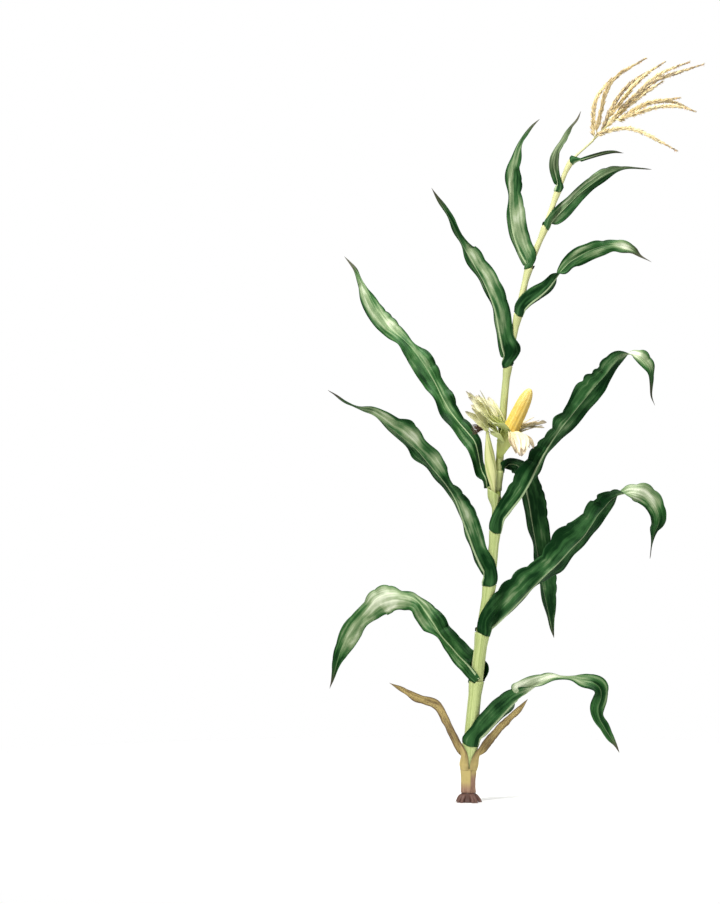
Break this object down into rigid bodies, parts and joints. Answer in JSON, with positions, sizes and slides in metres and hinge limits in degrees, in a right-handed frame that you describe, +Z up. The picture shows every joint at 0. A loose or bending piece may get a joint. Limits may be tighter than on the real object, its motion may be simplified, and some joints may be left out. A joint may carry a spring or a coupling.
{
  "type": "maize plant",
  "caption": "Tall maize plant: leaning jointed stalk, arching strap leaves, an open ear with its husks peeled back, a closed ear and a straw tassel.",
  "frame": {"origin": "centre of the flat cut under the stalk, at ground level", "axes": "+Z up along the plant, -Y towards the front, +X to the side the tassel leans to"},
  "size_m": [1.2301, 0.5626, 2.4155],
  "materials": {
    "stalk": "satin green stalk",
    "sheath": "satin pale green leaf sheath",
    "dry_sheath": "matt brown dry sheath",
    "leaf": "satin dark green leaf",
    "dry_leaf": "matt ochre dry leaf",
    "husk": "matt cream and pale green husk",
    "cob": "glossy yellow kernels",
    "silk": "matt dark brown silk",
    "tassel": "matt straw tassel"
  },
  "bodies": {
    "root": {"stalk": "stalk", "sheath_01": "sheath", "sheath_02": "sheath", "sheath_03": "sheath", "sheath_04": "sheath", "sheath_05": "sheath", "sheath_06": "sheath", "sheath_07": "sheath", "sheath_08": "sheath", "sheath_09": "sheath", "sheath_10": "sheath", "sheath_11": "sheath", "sheath_12": "sheath", "sheath_13": "sheath", "sheath_dry_left": "dry_sheath", "sheath_dry_right": "dry_sheath", "blade_01_fall": "leaf", "blade_01_rise": "leaf", "blade_02_fall": "leaf", "blade_02_rise": "leaf", "blade_03_fall": "leaf", "blade_03_rise": "leaf", "blade_04": "leaf", "blade_05_fall": "leaf", "blade_05_rise": "leaf", "blade_06": "leaf", "blade_07": "leaf", "blade_08": "leaf", "blade_09": "leaf", "blade_10": "leaf", "blade_11": "leaf", "blade_12": "leaf", "blade_13": "leaf", "blade_dry_left": "dry_leaf", "blade_dry_right": "dry_leaf", "ear_upper_shank": "husk", "ear_lower": "husk", "ear_upper_husk_1": "husk", "ear_upper_husk_2": "husk", "ear_upper_husk_3": "husk", "ear_upper_husk_4": "husk", "ear_upper_husk_5": "husk", "ear_upper_husk_6": "husk", "ear_upper_cob": "cob", "ear_lower_silk": "silk", "tassel_spike": "tassel", "tassel_branch_01": "tassel", "tassel_branch_02": "tassel", "tassel_branch_03": "tassel", "tassel_branch_04": "tassel", "tassel_branch_05": "tassel", "tassel_branch_06": "tassel", "tassel_branch_07": "tassel", "tassel_branch_08": "tassel", "tassel_branch_09": "tassel", "tassel_branch_10": "tassel"}
  },
  "joints": []
}
